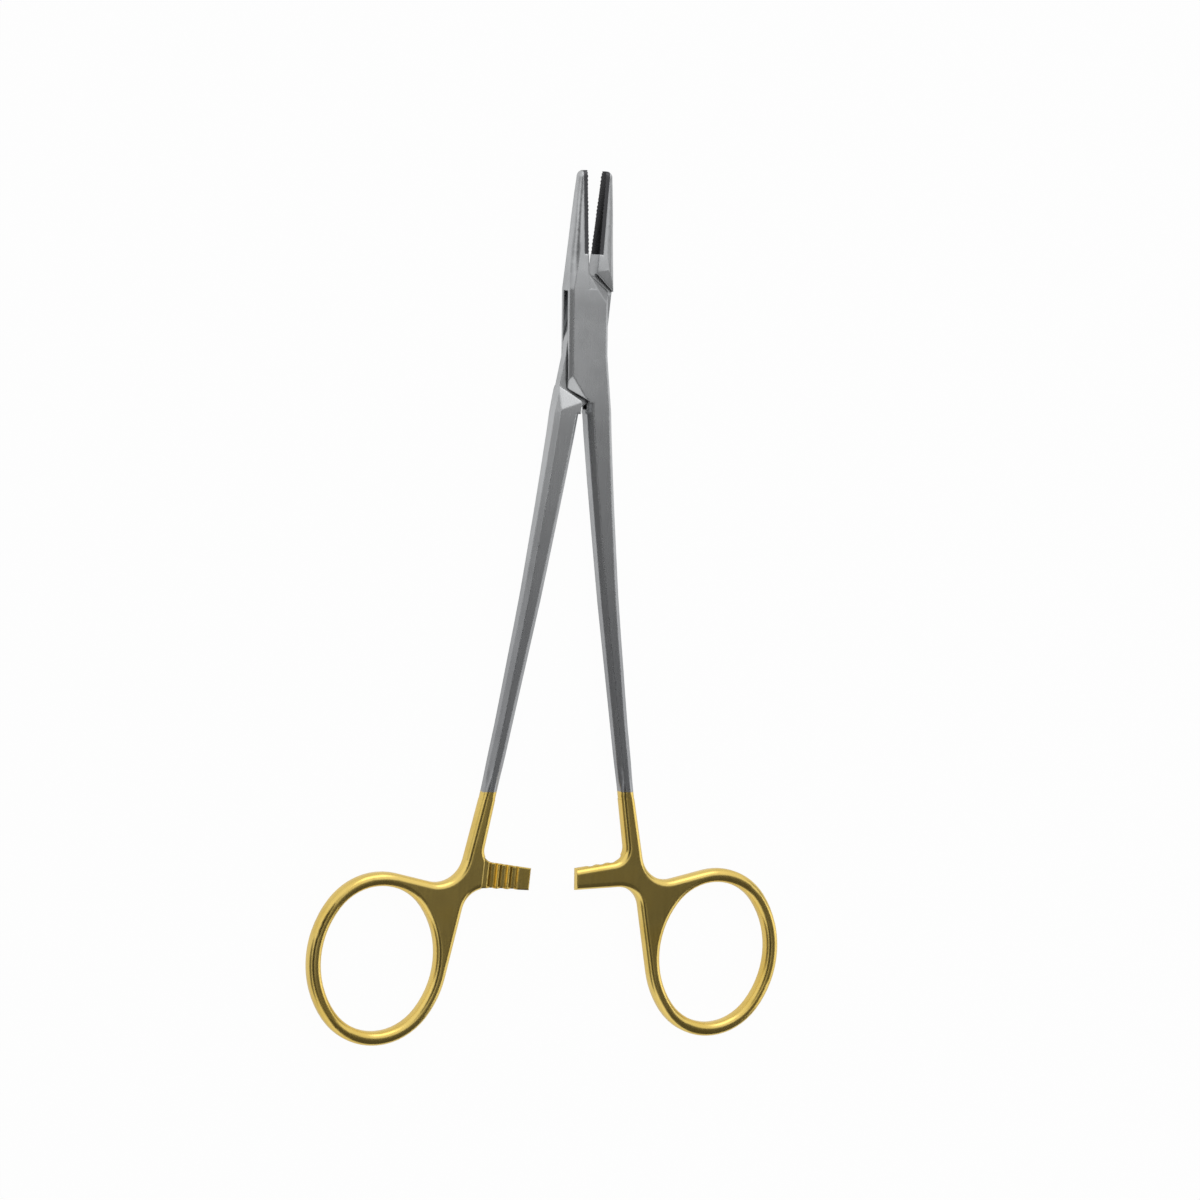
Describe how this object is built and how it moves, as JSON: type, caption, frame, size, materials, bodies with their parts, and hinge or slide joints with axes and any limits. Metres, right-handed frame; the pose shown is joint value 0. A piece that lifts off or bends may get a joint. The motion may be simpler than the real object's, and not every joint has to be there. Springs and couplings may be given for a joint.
{
  "type": "surgical needle holder",
  "caption": "straight locking needle holder with a box joint, cross-cut carbide jaw facings, ring handles and a ratchet lock",
  "frame": {"origin": "on the joint pin's axis, in the plane of the box's back face, which the instrument rests on", "axes": "+Z along the joint pin, out of the front face; +Y towards the jaw tips; +X towards the boxed half's handle"},
  "size_m": [0.1166, 0.1969, 0.0056],
  "materials": {
    "steel": "satin steel, gold plated from the lower shanks down",
    "pin_steel": "satin steel, ground flush",
    "carbide": "dark sintered carbide, cross-cut"
  },
  "bodies": {
    "box_side": {"box_half": "steel", "box_jaw_insert": "carbide", "joint_pin": "pin_steel"},
    "tongue_side": {"tongue_half": "steel", "tongue_jaw_insert": "carbide"}
  },
  "joints": [
    {"name": "box_lock_hinge", "type": "hinge", "parent": "box_side", "child": "tongue_side", "pos_m": [0, 0, 0.0028], "axis": [0, 0, 1], "range_deg": [-25, 6.3]}
  ]
}
